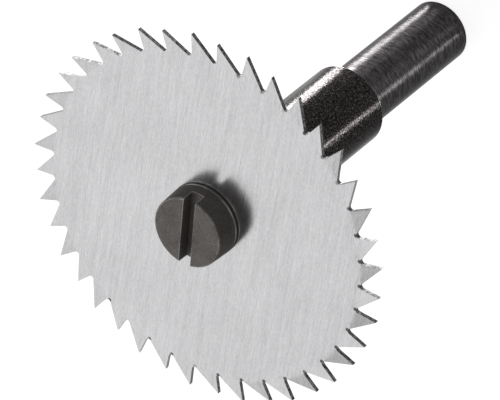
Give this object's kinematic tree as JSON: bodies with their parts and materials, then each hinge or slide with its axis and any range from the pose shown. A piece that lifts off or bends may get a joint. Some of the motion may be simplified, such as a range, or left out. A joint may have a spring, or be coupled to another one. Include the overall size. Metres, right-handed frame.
{
  "type": "slotting cutter",
  "caption": "Slotting cutter: a thin disc saw blade with alternately set teeth, clamped on the end of a stepped round arbor by a slotted screw.",
  "frame": {"origin": "centre of the shank's end face, which the cutter stands on", "axes": "+Z along the cutter's axis, from the shank's end towards the screw head; +X through the tip of a tooth that is set towards the screw"},
  "size_m": [0.06, 0.06, 0.0692],
  "materials": {
    "blackened_steel": "satin",
    "ground_steel": "satin",
    "oxide_steel": "matte"
  },
  "bodies": {
    "root": {"arbor": "blackened_steel", "saw_blade": "ground_steel", "clamping_screw": "oxide_steel"}
  },
  "joints": []
}
